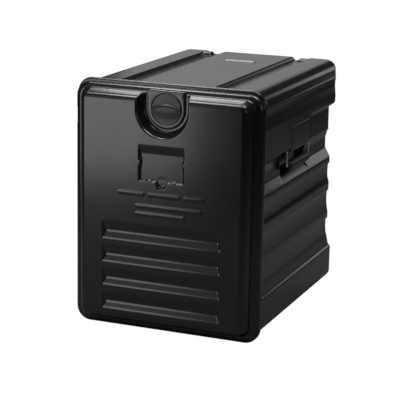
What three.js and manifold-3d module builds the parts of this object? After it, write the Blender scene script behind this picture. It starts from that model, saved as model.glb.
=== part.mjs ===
// Insulated front-loading food carrier: double-walled body, side-hinged door with a
// turn latch, two drop handles, runner rails inside and stacking channels on top.
// Millimetres. X to the right, Y to the back (0 is the front face of the door rim), Z up.
import * as THREE from "three";
import { mergeVertices } from "three/addons/utils/BufferGeometryUtils.js";
import Module from "manifold-3d";

const wasm = await Module();
wasm.setup();

// ---------------------------------------------------------------- driving dimensions
const GAP = 0.3; // clearance between pieces that touch
const WALL = 4; // skin of the body
const BODY = { back: 608, bottom: 16.5, top: 580.4, cornerRadius: 34, topRadius: 22, bottomRadius: 17 };
const FLANGE = { half: 228, front: 13, back: 25, bottom: 9, top: 586.4, radius: 34 };
const MOUTH = { half: 185, bottom: 24, top: 508, radius: 14 }; // hole through the front flange
const CABIN = { half: 167, bottom: 42, top: 490, back: 553, wall: 3.5, radius: 14 };
const RUNNER = { count: 11, pitch: 38, first: 62, thick: 8, reach: 12, front: 48, back: 540 };
const CHANNEL = { inner: 91, outer: 141, depth: 10, slope: 4 }; // stacking channels in the top
const STOP = { inner: 120, front: 555, back: 575 }; // tabs that end the channels' outer plateaus
const SKID = { inner: 94, outer: 138, front: 60, back: 550 };
const SHOULDER = { half: 212, back: 392, bottom: 418, top: 476 }; // raised front part of the side
const POCKET = { depthTo: 178, front: 226, back: 398, bottom: 336, top: 413 }; // finger pocket

const RIM = { half: 228, bottom: 9, top: 579, thick: 12, radius: 34, round: 10 };
const PANEL = { half: 208, bottom: 29, top: 566, proud: 30, radius: 22, draft: 2, fillet: 16, wall: 3.5 };
const DOOR_CORE = { half: 195.5, bottom: 41, top: 547 }; // room behind the panel
const PLUG = { half: 160, bottom: 49, top: 483, back: 40, wall: 3, plateFront: 8.5 };
const GROOVE = {
  half: 145, height: 38.5, depth: 8, lower: 15, floor: 7, ends: 6,
  bottoms: [59, 115.5, 171.5, 227],
};
const LABEL = { half: 55.6, bottom: 369, top: 450, depth: 6, topSlope: 16, sideSlope: 4, notchRadius: 13.5 };
const RELIEF = {
  proud: 1.5, height: 9,
  rows: [[-104, -40, 334], [-32, 48, 334], [56, 104, 334], [-64, 100, 306], [-64, 60, 288]],
};

const LATCH = {
  z: 532.7, faceRadius: 66, floorRadius: 47.5,
  plateFront: -5, plateBack: -2.3, wellRadius: 34.5, wellFloor: 1,
};
const KNOB = { radius: 37, front: -9, hubRadius: 33.6, hubBack: 0.4, edge: 5, ridge: 15, scoopDepth: 5.5 };
const SHAFT = { radius: 6, bore: 6.3, neck: 4, back: 29.5 };
const NUT = { radius: 6.6, thick: 4 };
const TBAR = { half: 17, halfHeight: 7, front: 18, back: 24 };
const KEEPER = {
  halfX: 40, halfZ: 15, front: 13.2, back: 15.7, slotX: 18.2, slotZ: 8.5,
  cupRadius: 22, cupBore: 19.5, cupBack: 34,
};

const HINGE = {
  x: -222.5, y: 27, radius: 5, pin: 2.5, bore: 2.8, half: 23, lugHalf: 8.5,
  heights: { lower: 66, upper: 500 },
};
const BRACKET = { outside: -217.3, inside: -214.3, back: 70 };
const LUG = { outside: -226.3, inside: -222.3, front: 5, half: 19 };

const HANDLE = { y: 312, halfSpan: 79, rod: 3, bend: 7, pivotX: 205, pivotZ: 413, gripZ: 374, pinReach: 22 };
const GRIP = { half: 71, halfX: 11, halfZ: 14, bore: 3.3 };
const CARRIER = { inside: 198, outside: 213, half: 71, bottom: 408, top: 468 }; // plate the handle pivots in

const BEYOND = 240; // half-width past every side of the object, where cutters end

// ---------------------------------------------------------------- materials
const plastic = (color, roughness) => new THREE.MeshStandardMaterial({ color, roughness, metalness: 0 });
const steel = (color, roughness) => new THREE.MeshStandardMaterial({ color, roughness, metalness: 1 });
const MATERIAL = {
  shell: plastic(0x17181a, 0.42),
  liner: plastic(0x1c1d1f, 0.5),
  trim: plastic(0x101112, 0.35),
  foam: plastic(0xd8cfa8, 0.95),
  rubber: plastic(0x0b0b0c, 0.85),
  steel: steel(0xb9bcc0, 0.3),
};

// ---------------------------------------------------------------- solids
function solid(geometry) {
  const bare = new THREE.BufferGeometry();
  bare.setAttribute("position", geometry.getAttribute("position"));
  bare.setIndex(geometry.index);
  const merged = mergeVertices(bare, 1e-4);
  const corners = merged.index.array;
  const triangles = [];
  for (let i = 0; i < corners.length; i += 3) {
    const [a, b, c] = [corners[i], corners[i + 1], corners[i + 2]];
    if (a !== b && b !== c && c !== a) triangles.push(a, b, c);
  }
  return new wasm.Manifold(
    new wasm.Mesh({
      numProp: 3,
      vertProperties: Float32Array.from(merged.getAttribute("position").array),
      triVerts: Uint32Array.from(triangles),
    }),
  );
}

function geometryOf(made) {
  const { numProp, numVert, vertProperties, triVerts } = made.getMesh();
  const points = new Float32Array(numVert * 3);
  for (let i = 0; i < numVert; i++) points.set(vertProperties.subarray(i * numProp, i * numProp + 3), i * 3);
  const geometry = new THREE.BufferGeometry();
  geometry.setAttribute("position", new THREE.BufferAttribute(points, 3));
  geometry.setIndex(new THREE.BufferAttribute(triVerts, 1));
  geometry.computeVertexNormals();
  return geometry;
}

const join = (solids) => solids.reduce((sum, piece) => sum.add(piece));
const cut = (from, tools) => tools.reduce((rest, tool) => rest.subtract(tool), from);

function box([x0, x1], [y0, y1], [z0, z1]) {
  const geometry = new THREE.BoxGeometry(x1 - x0, y1 - y0, z1 - z0);
  return solid(geometry.translate((x0 + x1) / 2, (y0 + y1) / 2, (z0 + z1) / 2));
}

// A round bar along one axis ("x", "y" or "z"), from one coordinate on it to another.
function bar(axis, centre, radius, from, to, sides = 24) {
  const geometry = new THREE.CylinderGeometry(radius, radius, to - from, sides);
  if (axis === "x") geometry.rotateZ(Math.PI / 2);
  if (axis === "z") geometry.rotateX(Math.PI / 2);
  const middle = { ...centre, [axis]: (from + to) / 2 };
  return solid(geometry.translate(middle.x, middle.y, middle.z));
}

// A closed skin over rings of equal length, each a convex outline of Vector3 points.
function loft(rings) {
  const count = rings[0].length;
  const last = (rings.length - 1) * count;
  const index = [];
  for (let start = 0; start < last; start += count) {
    for (let i = 0; i < count; i++) {
      const a = start + i;
      const b = start + ((i + 1) % count);
      index.push(a, b, b + count, a, b + count, a + count);
    }
  }
  for (let i = 1; i < count - 1; i++) index.push(0, i + 1, i, last, last + i, last + i + 1);
  const geometry = new THREE.BufferGeometry().setFromPoints(rings.flat());
  geometry.setIndex(signedVolume(rings.flat(), index) < 0 ? index.reverse() : index);
  return solid(geometry);
}

function signedVolume(points, index) {
  let sum = 0;
  for (let i = 0; i < index.length; i += 3) {
    const [a, b, c] = [points[index[i]], points[index[i + 1]], points[index[i + 2]]];
    sum += a.dot(new THREE.Vector3().crossVectors(b, c));
  }
  return sum;
}

// Rounded rectangle as Vector2 points, anticlockwise.
function roundedOutline(x0, x1, z0, z1, radius, steps = 6) {
  const corners = [
    [x1 - radius, z0 + radius, -90],
    [x1 - radius, z1 - radius, 0],
    [x0 + radius, z1 - radius, 90],
    [x0 + radius, z0 + radius, 180],
  ];
  return corners.flatMap(([cx, cz, start]) =>
    Array.from({ length: steps + 1 }, (_, i) => {
      const angle = THREE.MathUtils.degToRad(start + (90 * i) / steps);
      return new THREE.Vector2(cx + radius * Math.cos(angle), cz + radius * Math.sin(angle));
    }),
  );
}

const upright = (outline, y) => outline.map((p) => new THREE.Vector3(p.x, y, p.y));

// A block between front and back whose outline is a rounded rectangle in X and Z.
function slab({ half, bottom, top, radius }, front, back, grow = 0) {
  const outline = roundedOutline(-half - grow, half + grow, bottom - grow, top + grow, radius + grow);
  return loft([upright(outline, front), upright(outline, back)]);
}

// ---------------------------------------------------------------- body profile
// Half-width of the body against height: base panel, three scooped bands, a deep band at
// handle height, a recessed band and the top band. The back wall follows the same profile.
const BASE_HALF = 214;
const RIB_HALF = 204.3;
const SCOOP_DEPTH = 4.5;

function scoop(from, to) {
  const shape = [[0, 0], [0.25, 0.5], [0.5, 0.85], [0.75, 1], [0.93, 0.9], [1, 0]];
  return shape.map(([t, depth]) => [from + t * (to - from), RIB_HALF - depth * SCOOP_DEPTH]);
}

const SIDE_PROFILE = [
  [BODY.bottom, BASE_HALF],
  [94, BASE_HALF],
  [101, 208.5],
  ...scoop(120, 172),
  ...scoop(187, 245),
  ...scoop(266, 317),
  [331, RIB_HALF],
  [345, 197],
  [357, 191.3],
  [383, 191.3],
  [397, 195],
  [404, 197.6],
  [462, 197.6],
  [473, 211.7],
  [489, 213.3],
  [515, 210.6],
  [537, 211.9],
  [BODY.top, 210.5],
];

function sideHalf(z) {
  const above = SIDE_PROFILE.findIndex(([height]) => height >= z);
  if (above <= 0) return SIDE_PROFILE[0][1];
  const [[z0, w0], [z1, w1]] = [SIDE_PROFILE[above - 1], SIDE_PROFILE[above]];
  return THREE.MathUtils.mapLinear(z, z0, z1, w0, w1);
}

// How far an edge of the given radius draws in, at a distance past the arc's start.
const drawIn = (radius, past) => (past <= 0 ? 0 : radius - Math.sqrt(Math.max(0, radius ** 2 - past ** 2)));

function bodyVolume(inset, front) {
  const { back, bottom, top, cornerRadius, topRadius, bottomRadius } = BODY;
  const arc = [0, 0.3, 0.55, 0.78, 0.92, 1];
  const heights = [
    ...arc.map((t) => bottom + bottomRadius - t * (bottomRadius - inset)).reverse(),
    ...SIDE_PROFILE.map(([z]) => z).filter((z) => z > bottom + bottomRadius && z < top - topRadius),
    ...arc.map((t) => top - topRadius + t * (topRadius - inset)),
  ];
  const rings = heights.map((z) => {
    const round =
      drawIn(topRadius - inset, z - (top - topRadius)) + drawIn(bottomRadius - inset, bottom + bottomRadius - z);
    const half = sideHalf(z) - inset - round;
    const rear = back - BASE_HALF + half;
    const radius = cornerRadius - inset;
    const outline = [new THREE.Vector2(-half, front), new THREE.Vector2(half, front)];
    for (let i = 0; i <= 12; i++) {
      const side = i < 6.5 ? 1 : -1;
      const angle = THREE.MathUtils.degToRad(i < 6.5 ? i * 15 : (i - 1) * 15 + 15);
      outline.push(
        new THREE.Vector2(
          side * (half - radius) + radius * Math.cos(angle),
          rear - radius + radius * Math.sin(angle),
        ),
      );
    }
    return outline.map((p) => new THREE.Vector3(p.x, p.y, z));
  });
  const dents = bothSides((side) => [channel, pocket, carrierRecess].map((dent) => dent(side, inset)));
  return cut(loft(rings), dents.flat());
}

const bothSides = (make) => [-1, 1].map(make);
const span = (side, a, b) => (side > 0 ? [a, b] : [-b, -a]);

function channel(side, grow) {
  const { inner, outer, depth, slope } = CHANNEL;
  const floor = BODY.top - depth - grow;
  const section = (y) =>
    [
      [inner - grow - 1, BODY.top + 20],
      [inner - grow, BODY.top + 1],
      [inner - grow + slope, floor],
      [outer + grow - slope, floor],
      [outer + grow, BODY.top + 1],
      [outer + grow + 1, BODY.top + 20],
    ].map(([x, z]) => new THREE.Vector3(side * x, y, z));
  return loft([section(FLANGE.back), section(BODY.back + 20)]);
}

function pocket(side, grow) {
  const { depthTo, front, back, bottom, top } = POCKET;
  return box(span(side, depthTo - grow, BEYOND), [front - grow, back + grow], [bottom - grow, top + grow]);
}

function carrierRecess(side, grow) {
  const { inside, half, bottom, top } = CARRIER;
  const margin = GAP + grow;
  return box(
    span(side, inside - margin, BEYOND),
    [HANDLE.y - half - margin, HANDLE.y + half + margin],
    [bottom - margin, top + margin],
  );
}

// ---------------------------------------------------------------- body pieces
function outerShell() {
  const rim = slab(FLANGE, FLANGE.front, FLANGE.back);
  const shoulders = bothSides((side) =>
    box(span(side, 190, SHOULDER.half), [FLANGE.back - 1, SHOULDER.back], [SHOULDER.bottom, SHOULDER.top]),
  );
  const stops = bothSides((side) =>
    box(span(side, STOP.inner, CHANNEL.outer + 4), [STOP.front, STOP.back], [BODY.top - 14, BODY.top]),
  );
  const hingePads = Object.values(HINGE.heights).map((z) =>
    box([BRACKET.inside + GAP, -200], [FLANGE.back - 1, BRACKET.back + 3], [z - 26, z + 26]),
  );
  const skin = join([rim, bodyVolume(0, FLANGE.back - 1), ...shoulders, ...stops, ...hingePads]);
  return cut(skin, [
    bodyVolume(WALL, FLANGE.back),
    slab(MOUTH, FLANGE.front - 1, FLANGE.back + 1),
    ...bothSides((side) => carrierRecess(side, 0)),
    ...bothSides(carrierScrewHoles).flat(),
    ...Object.values(HINGE.heights).flatMap(hingeCuts),
    ...keeperCuts(),
  ]);
}

const CARRIER_SCREW = {
  offset: 52, z: 446, tip: 194.2, head: 206,
  shank: 2, bore: 2.3, headRadius: 4, headBore: 4.5,
};
const carrierScrewY = [-1, 1].map((end) => HANDLE.y + end * CARRIER_SCREW.offset);

function carrierScrewHoles(side) {
  return carrierScrewY.map((y) => {
    const [from, to] = span(side, 192, 200);
    return bar("x", { y, z: CARRIER_SCREW.z }, CARRIER_SCREW.bore, from, to, 16);
  });
}

function hingeCuts(z) {
  const room = HINGE.half + 2.5;
  const tall = [z - room, z + room];
  const notch = box([-BEYOND, BRACKET.outside + 0.4], [FLANGE.front - 1, FLANGE.back + 0.2], tall);
  const holes = BRACKET_SCREW.rises.map((rise) =>
    bar("x", { y: BRACKET_SCREW.y, z: z + rise }, BRACKET_SCREW.bore, -216, BRACKET_SCREW.tip + 2, 16),
  );
  return [notch, ...holes];
}

function keeperCuts() {
  const { halfX, halfZ, back, cupRadius } = KEEPER;
  const tall = [LATCH.z - halfZ - GAP, LATCH.z + halfZ + GAP];
  const bed = box([-halfX - GAP, halfX + GAP], [12, back + GAP], tall);
  const hole = bar("y", { x: 0, z: LATCH.z }, cupRadius + GAP, 12, FLANGE.back + 10, 40);
  const screws = KEEPER_SCREW.xs.map((x) => bar("y", { x, z: LATCH.z }, KEEPER_SCREW.bore, 15, 23, 16));
  return [bed, hole, ...screws];
}

function innerLiner() {
  const { half, bottom, top, back, wall, radius } = CABIN;
  const outside = slab({ half, bottom, top, radius }, FLANGE.front, back + wall, wall);
  const seat = slab(MOUTH, SEAL.seatFront, SEAL.seatFront + 3, -0.5);
  const runners = bothSides((side) =>
    Array.from({ length: RUNNER.count }, (_, i) => {
      const z = RUNNER.first + i * RUNNER.pitch;
      return box(span(side, half - RUNNER.reach, half + 1), [RUNNER.front, RUNNER.back], [z - RUNNER.thick, z]);
    }),
  ).flat();
  return join([cut(outside.add(seat), [slab(CABIN, FLANGE.front - 5, back)]), ...runners]);
}

const SEAL = { seatFront: 17, front: 12.3, back: 16.7, inset: 1 };

function gasket() {
  const ring = slab(MOUTH, SEAL.front, SEAL.back, -SEAL.inset);
  const hole = slab(CABIN, SEAL.front - 1, SEAL.back + 1, CABIN.wall + SEAL.inset);
  return cut(ring, [hole]);
}

function bodyFoam() {
  const { half, bottom, top, back, wall, radius } = CABIN;
  const block = bodyVolume(WALL + GAP, FLANGE.back + GAP);
  const collar = slab(MOUTH, SEAL.seatFront + 3 + GAP, FLANGE.back + 1, -0.5);
  const cabin = slab({ half, bottom, top, radius }, 0, back + wall + GAP, wall + GAP);
  const cup = bar("y", { x: 0, z: LATCH.z }, KEEPER.cupRadius + 2 * GAP, 20, KEEPER.cupBack + GAP, 40);
  return cut(block.add(collar), [cabin, cup, ...bothSides(pocketSurround)]);
}

// The foam stays back from the finger pocket, whose walls slope outwards.
function pocketSurround(side) {
  const { front, back, bottom, top } = POCKET;
  return box(span(side, CABIN.half, BEYOND), [front - 16, back + 14], [bottom - 12, top + 12]);
}

function skid(side) {
  const { inner, outer, front, back } = SKID;
  const [x0, x1] = span(side, inner, outer);
  const top = BODY.bottom - GAP;
  const ring = (z, taper) => {
    const outline = roundedOutline(x0 + taper, x1 - taper, front + taper, back - taper, 8, 4);
    return outline.map((p) => new THREE.Vector3(p.x, p.y, z));
  };
  return loft([ring(0, 3), ring(4, 0), ring(top, 0)]);
}

function latchKeeper() {
  const { halfX, halfZ, front, back, slotX, slotZ, cupRadius, cupBore, cupBack } = KEEPER;
  const plate = box([-halfX, halfX], [front, back], [LATCH.z - halfZ, LATCH.z + halfZ]);
  const centre = { x: 0, z: LATCH.z };
  const cup = bar("y", centre, cupRadius, front, cupBack, 40);
  const holes = KEEPER_SCREW.xs.map((x) =>
    bar("y", { x, z: LATCH.z }, KEEPER_SCREW.bore, front - 1, back + 1, 16),
  );
  return cut(plate.add(cup), [
    bar("y", centre, cupBore, back, cupBack - 2.5, 40),
    box([-slotX, slotX], [front - 1, back + 1], [LATCH.z - slotZ, LATCH.z + slotZ]),
    ...holes,
  ]);
}

// ---------------------------------------------------------------- screws
const KEEPER_SCREW = {
  xs: [-32, 32], shank: 1.7, bore: 2, tip: 22,
  headRadius: 3.4, headFront: 12.5, headBack: 13.1,
};
const BRACKET_SCREW = {
  y: 56, rises: [-13, 13], shank: 2, bore: 2.3,
  tip: -210.8, headRadius: 4, headOut: -219.4,
};
const LUG_SCREW = {
  y: 9, rises: [-13.5, 13.5], shank: 1.5, bore: 1.8,
  tip: -210, headRadius: 2.9, headIn: -225,
};

// A screw along an axis: shank between tip and neck, head between neck and crown.
function screw(axis, centre, shank, tip, neck, headRadius, crown) {
  const [a, b] = [Math.min(tip, neck), Math.max(tip, neck)];
  const overlap = Math.sign(crown - neck) * 0.2;
  const shaft = bar(axis, centre, shank, a - (overlap < 0 ? 0.2 : 0), b + (overlap > 0 ? 0.2 : 0), 16);
  return shaft.add(bar(axis, centre, headRadius, Math.min(neck, crown), Math.max(neck, crown), 20));
}

// ---------------------------------------------------------------- hinge pieces
function hingeBracket(z) {
  const { x, y, radius, half, lugHalf, bore } = HINGE;
  const gap = lugHalf + 0.5;
  const plate = box([BRACKET.outside, BRACKET.inside], [FLANGE.back + 0.6, BRACKET.back], [z - half, z + half]);
  const knuckles = [[z - half, z - gap], [z + gap, z + half]].flatMap((reach) => [
    bar("z", { x, y }, radius, ...reach),
    box([x, BRACKET.inside], [FLANGE.back + 0.6, y + radius], reach),
  ]);
  const holes = BRACKET_SCREW.rises.map((rise) =>
    bar("x", { y: BRACKET_SCREW.y, z: z + rise }, BRACKET_SCREW.bore, -220, -212, 16),
  );
  const clearance = bar("z", { x, y }, radius + 0.6, z - gap, z + gap);
  const pinHole = bar("z", { x, y }, bore, z - half - 1, z + half + 1);
  return cut(join([plate, ...knuckles]), [pinHole, clearance, ...holes]);
}

function hingePin(z) {
  const { x, y, pin, half } = HINGE;
  const head = half + GAP;
  return join([
    bar("z", { x, y }, pin, z - head - 1, z + head + 1),
    bar("z", { x, y }, pin + 1, z + head, z + head + 1.6),
    bar("z", { x, y }, pin + 1, z - head - 1.6, z - head),
  ]);
}

function hingeLug(z) {
  const { x, y, radius, bore, lugHalf } = HINGE;
  const plate = box([LUG.outside, LUG.inside], [LUG.front, RIM.thick], [z - LUG.half, z + LUG.half]);
  const arm = box([LUG.outside, LUG.inside], [LUG.front, y], [z - lugHalf, z + lugHalf]);
  const knuckle = bar("z", { x, y }, radius, z - lugHalf, z + lugHalf);
  const holes = LUG_SCREW.rises.flatMap((rise) => {
    const centre = { y: LUG_SCREW.y, z: z + rise };
    return [
      bar("x", centre, LUG_SCREW.bore, LUG.outside - 1, LUG.inside + 1, 16),
      bar("x", centre, LUG_SCREW.headRadius + GAP, LUG.outside - 1, LUG_SCREW.headIn + GAP, 20),
    ];
  });
  const pinHole = bar("z", { x, y }, bore, z - lugHalf - 1, z + lugHalf + 1);
  return cut(join([plate, arm, knuckle]), [pinHole, ...holes]);
}

// ---------------------------------------------------------------- door pieces
function doorRim() {
  const { half, bottom, top, thick, radius, round } = RIM;
  const arc = [1, 0.95, 0.8, 0.55, 0.25, 0];
  const rings = arc.map((t) => {
    const inset = drawIn(round, t * round);
    const outline = roundedOutline(-half + inset, half - inset, bottom + inset, top - inset, radius - inset);
    return upright(outline, round * (1 - t));
  });
  return loft([...rings, upright(roundedOutline(-half, half, bottom, top, radius), thick)]);
}

function doorPanel() {
  const { half, bottom, top, proud, radius, draft, fillet } = PANEL;
  const arc = [0, 0.35, 0.6, 0.8, 0.93, 1];
  const rounding = arc.map((t) => [-(proud - fillet) - t * fillet, draft + drawIn(fillet, t * fillet)]);
  const levels = [[1, 0], ...rounding];
  return loft(
    levels.map(([y, inset]) =>
      upright(roundedOutline(-half + inset, half - inset, bottom + inset, top - inset, radius), y),
    ),
  );
}

// Shape of the latch's recess: a half circle under straight sides that run out at the top.
function latchOutline(radius, top = 640) {
  const bottom = Array.from({ length: 25 }, (_, i) => {
    const angle = THREE.MathUtils.degToRad(180 + (180 * i) / 24);
    return new THREE.Vector2(radius * Math.cos(angle), LATCH.z + radius * Math.sin(angle));
  });
  return [...bottom, new THREE.Vector2(radius, top), new THREE.Vector2(-radius, top)];
}

function latchRecess() {
  const { faceRadius, floorRadius, plateFront, plateBack } = LATCH;
  const slopeFoot = plateFront - 1;
  const overshoot = (faceRadius - floorRadius) / (PANEL.proud + slopeFoot);
  return loft([
    upright(latchOutline(faceRadius + overshoot), -PANEL.proud - 1),
    upright(latchOutline(floorRadius), slopeFoot),
    upright(latchOutline(floorRadius), plateBack + GAP),
  ]);
}

function groove(bottom) {
  const { half, height, depth, lower, floor, ends } = GROOVE;
  const face = (grow) => roundedOutline(-half - grow, half + grow, bottom - grow, bottom + height + grow, 9);
  const foot = roundedOutline(-half + ends, half - ends, bottom + lower, bottom + lower + floor, 3);
  return loft([
    upright(face(1), -PANEL.proud - 1),
    upright(face(0), -PANEL.proud),
    upright(foot, -PANEL.proud + depth),
  ]);
}

function labelRecess() {
  const { half, bottom, top, depth, topSlope, sideSlope, notchRadius } = LABEL;
  const face = roundedOutline(-half, half, bottom, top, 4);
  const foot = roundedOutline(-half + sideSlope, half - sideSlope, bottom + 1, top - topSlope, 2);
  const recess = loft([
    upright(face, -PANEL.proud - 1),
    upright(face, -PANEL.proud),
    upright(foot, -PANEL.proud + depth),
  ]);
  return recess.add(bar("y", { x: 0, z: bottom }, notchRadius, -PANEL.proud - 1, -PANEL.proud + depth));
}

function doorRoom(grow = 0) {
  const { half, bottom, top } = DOOR_CORE;
  const front = -PANEL.proud + PANEL.wall;
  const room = slab({ half, bottom, top, radius: 14 }, front - grow, RIM.thick + 1, grow);
  const sunk = [
    slab({ half: 150, bottom: 52, top: 272, radius: 10 }, front - 20, front + GROOVE.depth + 0.5, -grow),
    slab({ half: 60, bottom: 350, top: 455, radius: 6 }, front - 20, front + LABEL.depth + 0.5, -grow),
    loft(
      [-60, LATCH.plateBack + 3.8 - grow].map((y) => upright(latchOutline(LATCH.faceRadius + 4 - grow), y)),
    ),
    bar("y", { x: 0, z: LATCH.z }, LATCH.wellRadius + 4 - grow, -20, LATCH.wellFloor + 3.5 - grow, 40),
  ];
  return cut(room, sunk);
}

function doorOuterShell() {
  const base = join([doorRim(), doorPanel(), latchPad()]);
  const relief = RELIEF.rows.map(([x0, x1, z]) =>
    loft(
      [[-PANEL.proud - RELIEF.proud, 0.8], [-PANEL.proud + 1, 0]].map(([y, inset]) =>
        upright(roundedOutline(x0 + inset, x1 - inset, z + inset, z + RELIEF.height - inset, 3, 3), y),
      ),
    ),
  );
  const hollow = cut(base, [
    latchRecess(),
    bar("y", { x: 0, z: LATCH.z }, LATCH.wellRadius, -20, LATCH.wellFloor, 48),
    bar("y", { x: 0, z: LATCH.z }, BUSH.outer + GAP, -20, 20, 32),
    ...GROOVE.bottoms.map(groove),
    labelRecess(),
    doorRoom(),
    ...Object.values(HINGE.heights).flatMap(lugCuts),
  ]);
  return join([hollow, ...relief]);
}

function latchPad() {
  const half = LATCH.floorRadius + 4;
  return box([-half, half], [LATCH.plateBack + GAP, 1], [540, LATCH_PLATE_TOP]);
}

function lugCuts(z) {
  const bed = box([-BEYOND, LUG.inside + GAP], [LUG.front - GAP, 20], [z - LUG.half - GAP, z + LUG.half + GAP]);
  const holes = LUG_SCREW.rises.map((rise) =>
    bar("x", { y: LUG_SCREW.y, z: z + rise }, LUG_SCREW.bore, -223, LUG_SCREW.tip + 0.5, 16),
  );
  return [bed, ...holes];
}

function doorInnerShell() {
  const { plateFront, wall, back } = PLUG;
  const plate = slab({ ...DOOR_CORE, radius: 14 }, plateFront, RIM.thick, -GAP);
  const plug = slab({ ...PLUG, radius: 12 }, RIM.thick - 1, back);
  const hollow = slab({ ...PLUG, radius: 12 }, plateFront - 1, back - wall, -wall);
  return cut(plate.add(plug), [hollow, bar("y", { x: 0, z: LATCH.z }, BUSH.outer + GAP, 5, 20, 32)]);
}

function doorFoam() {
  const slabs = cut(doorRoom(-GAP), [box([-300, 300], [PLUG.plateFront - GAP, 40], [0, 600])]);
  const tongue = slab(
    { ...PLUG, radius: 12 },
    PLUG.plateFront - 2 * GAP - 1,
    PLUG.back - PLUG.wall - GAP,
    -PLUG.wall - GAP,
  );
  return cut(slabs.add(tongue), [bar("y", { x: 0, z: LATCH.z }, BUSH.outer + 2 * GAP, -30, 20, 32)]);
}

// ---------------------------------------------------------------- latch pieces
const BUSH = { outer: 10, front: 1.6, back: 12 };
const LATCH_PLATE_TOP = 574;
const shaftFront = KNOB.front + 3;

function latchPlate() {
  const { floorRadius, plateFront, plateBack, wellRadius } = LATCH;
  const outline = latchOutline(floorRadius - GAP, LATCH_PLATE_TOP);
  const plate = loft([upright(outline, plateFront), upright(outline, plateBack)]);
  return cut(plate, [bar("y", { x: 0, z: LATCH.z }, wellRadius, plateFront - 1, plateBack + 1, 48)]);
}

function latchBush() {
  const centre = { x: 0, z: LATCH.z };
  return cut(bar("y", centre, BUSH.outer, BUSH.front, BUSH.back, 32), [
    bar("y", centre, SHAFT.bore, BUSH.front - 1, BUSH.back + 1, 32),
  ]);
}

// Round knob with a lens-shaped grip ridge left standing between two scoops. Its hub turns
// in the well behind the latch plate, and a socket in its back takes the shaft.
function latchKnob() {
  const { radius, front, hubRadius, hubBack, ridge, scoopDepth } = KNOB;
  const centre = { x: 0, z: LATCH.z };
  const profile = [
    new THREE.Vector2(0, front),
    new THREE.Vector2(radius - 2, front),
    new THREE.Vector2(radius, front + 1.6),
    new THREE.Vector2(radius, LATCH.plateFront - GAP),
    new THREE.Vector2(hubRadius, LATCH.plateFront - GAP),
    new THREE.Vector2(hubRadius, hubBack),
    new THREE.Vector2(0, hubBack),
  ];
  const turned = new THREE.LatheGeometry(profile, 48);
  const knob = solid(turned.translate(centre.x, 0, centre.z));
  const reach = radius - KNOB.edge;
  const lensRadius = (reach ** 2 + (ridge / 2) ** 2) / ridge;
  const round = (z, size) => bar("y", { x: 0, z: centre.z + z }, size, front - 1, front + scoopDepth, 48);
  const lens = round(lensRadius - ridge / 2, lensRadius).intersect(round(ridge / 2 - lensRadius, lensRadius));
  const scoops = round(0, reach).subtract(lens);
  return cut(knob, [scoops, bar("y", centre, SHAFT.radius + GAP, shaftFront - GAP, 20, 32)]);
}

function latchShaft() {
  const centre = { x: 0, z: LATCH.z };
  return bar("y", centre, SHAFT.radius, shaftFront, TBAR.front - GAP, 32).add(
    bar("y", centre, SHAFT.neck, TBAR.front - 2, SHAFT.back, 24),
  );
}

function latchTbar() {
  const { half, halfHeight, front, back } = TBAR;
  const outline = roundedOutline(-half, half, LATCH.z - halfHeight, LATCH.z + halfHeight, 3, 3);
  return cut(loft([upright(outline, front), upright(outline, back)]), [
    bar("y", { x: 0, z: LATCH.z }, SHAFT.neck + GAP, front - 1, back + 1, 24),
  ]);
}

function shaftNut() {
  const { z } = LATCH;
  const nut = new THREE.CylinderGeometry(NUT.radius, NUT.radius, NUT.thick, 6);
  const hex = solid(nut.translate(0, TBAR.back + GAP + NUT.thick / 2, z));
  return cut(hex, [bar("y", { x: 0, z }, SHAFT.neck + GAP, TBAR.back, SHAFT.back + 1, 24)]);
}

// ---------------------------------------------------------------- handle pieces, right-hand side
function handleCarrier() {
  const { inside, outside, half, bottom, top } = CARRIER;
  const { offset, z, head, bore, headBore } = CARRIER_SCREW;
  const ring = (x, inset) =>
    roundedOutline(-half + inset, half - inset, bottom + inset, top - inset, 6, 3).map(
      (p) => new THREE.Vector3(x, HANDLE.y + p.x, p.y),
    );
  const plate = loft([ring(inside, 0), ring(outside - 1.5, 0), ring(outside, 1.5)]);
  const pinHole = { x: HANDLE.pivotX, z: HANDLE.pivotZ };
  const pinRooms = [-1, 1].map((end) => {
    const [from, to] = span(end, half - HANDLE.pinReach, half + 1).map((reach) => HANDLE.y + reach);
    return bar("y", pinHole, HANDLE.rod + GAP, from, to, 20);
  });
  const screws = [-1, 1].flatMap((end) => [
    bar("x", { y: HANDLE.y + end * offset, z }, bore, inside - 1, outside + 1, 16),
    bar("x", { y: HANDLE.y + end * offset, z }, headBore, head - 2.6 - GAP, outside + 1, 20),
  ]);
  return cut(plate, [...pinRooms, ...screws]);
}

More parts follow.
